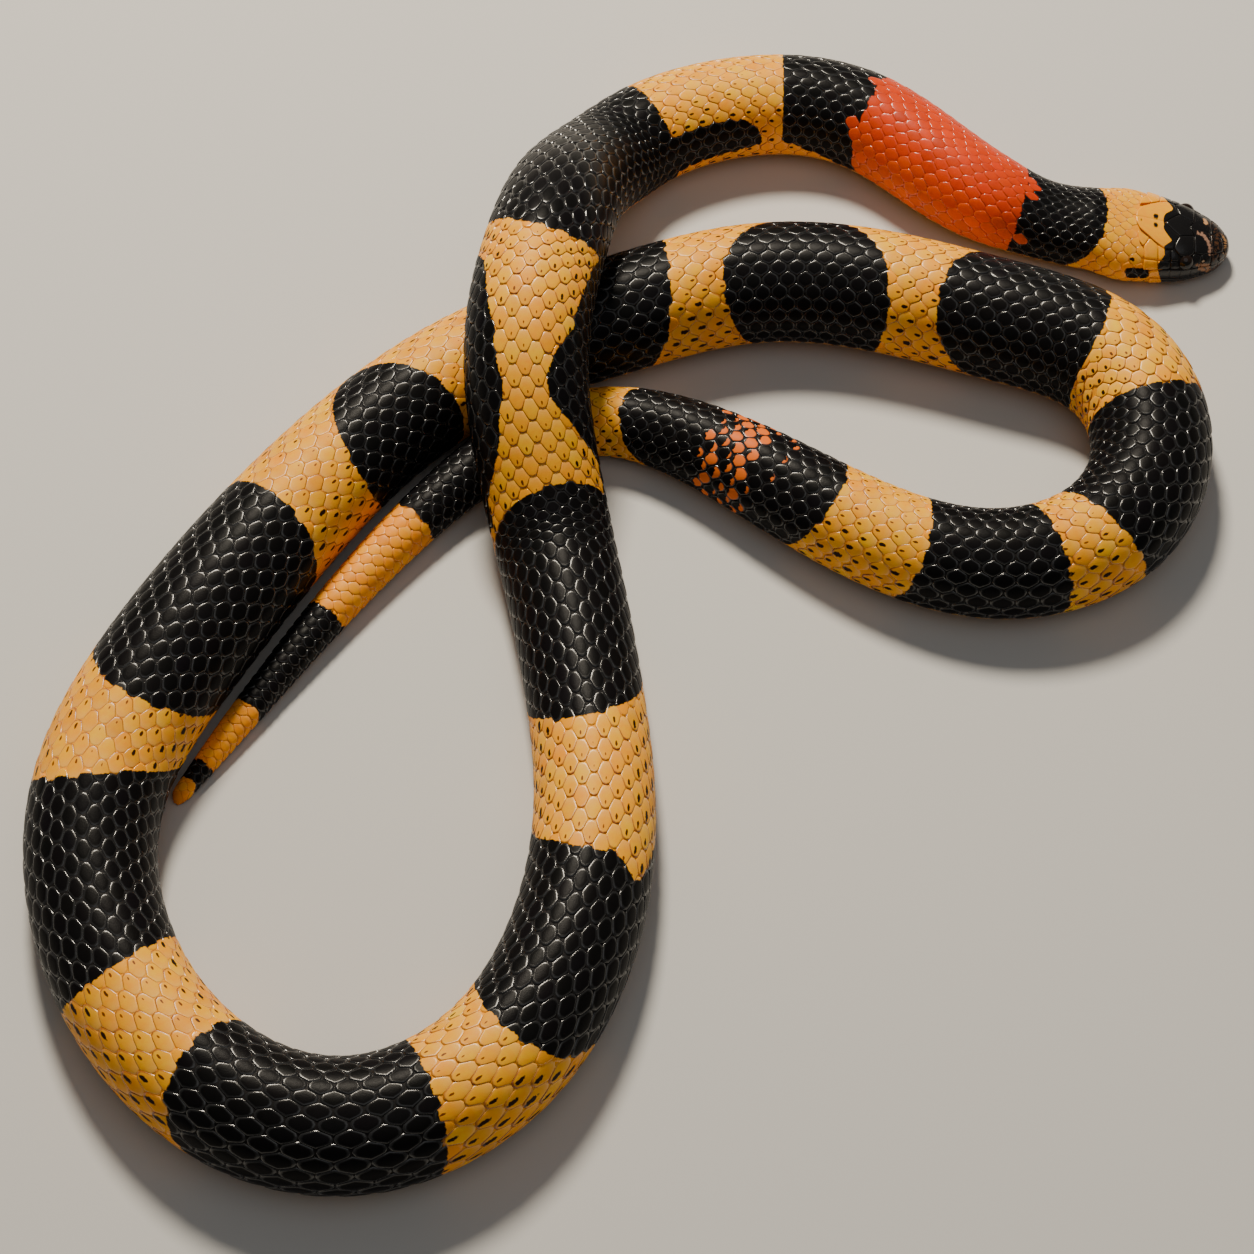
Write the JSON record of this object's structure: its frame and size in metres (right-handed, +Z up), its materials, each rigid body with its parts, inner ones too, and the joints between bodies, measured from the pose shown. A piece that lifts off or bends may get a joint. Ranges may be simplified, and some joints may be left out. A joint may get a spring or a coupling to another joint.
{
  "type": "milk snake",
  "caption": "Life-size milk snake lying in a loose looped figure, its banded body crossing over itself, head and tail flat on the floor.",
  "frame": {"origin": "on the floor, at the middle of the snake's bounding box", "axes": "+Z up, +X towards the side where the snout points, +Y from the large lower loop towards the head"},
  "size_m": [0.2794, 0.3044, 0.0498],
  "materials": {
    "skin_black": "satin black scales with glossy edges",
    "skin_yellow": "satin yellow scales, paler on the flanks, with dark spots near their tips",
    "skin_red": "satin orange-red scales",
    "skin_orange": "smooth orange tail scales",
    "eye": "wet gloss under a clear spectacle"
  },
  "bodies": {
    "root": {"head": "skin_black", "back_of_head": "skin_yellow", "lower_jaw": "skin_black", "eye_left": "eye", "eye_right": "eye", "nape": "skin_yellow", "neck": "skin_black", "body_01": "skin_red", "body_02": "skin_black", "body_03": "skin_yellow", "body_04": "skin_black", "body_05": "skin_black", "body_06": "skin_yellow", "body_07": "skin_black", "body_08": "skin_black", "body_09": "skin_yellow", "body_10": "skin_black", "body_11": "skin_yellow", "body_12": "skin_black", "body_13": "skin_yellow", "body_14": "skin_black", "body_15": "skin_yellow", "body_16": "skin_black", "body_17": "skin_yellow", "body_18": "skin_black", "body_19": "skin_yellow", "body_20": "skin_black", "body_21": "skin_yellow", "body_22": "skin_black", "body_23": "skin_yellow", "body_24": "skin_black", "body_25": "skin_yellow", "body_26": "skin_black", "body_27": "skin_yellow", "body_28": "skin_black", "body_29": "skin_yellow", "body_30": "skin_black", "tail_1": "skin_black", "tail_2": "skin_yellow", "tail_3": "skin_black", "tail_4": "skin_orange", "tail_5": "skin_black", "tail_6": "skin_orange", "tail_tip": "skin_orange"}
  },
  "joints": []
}
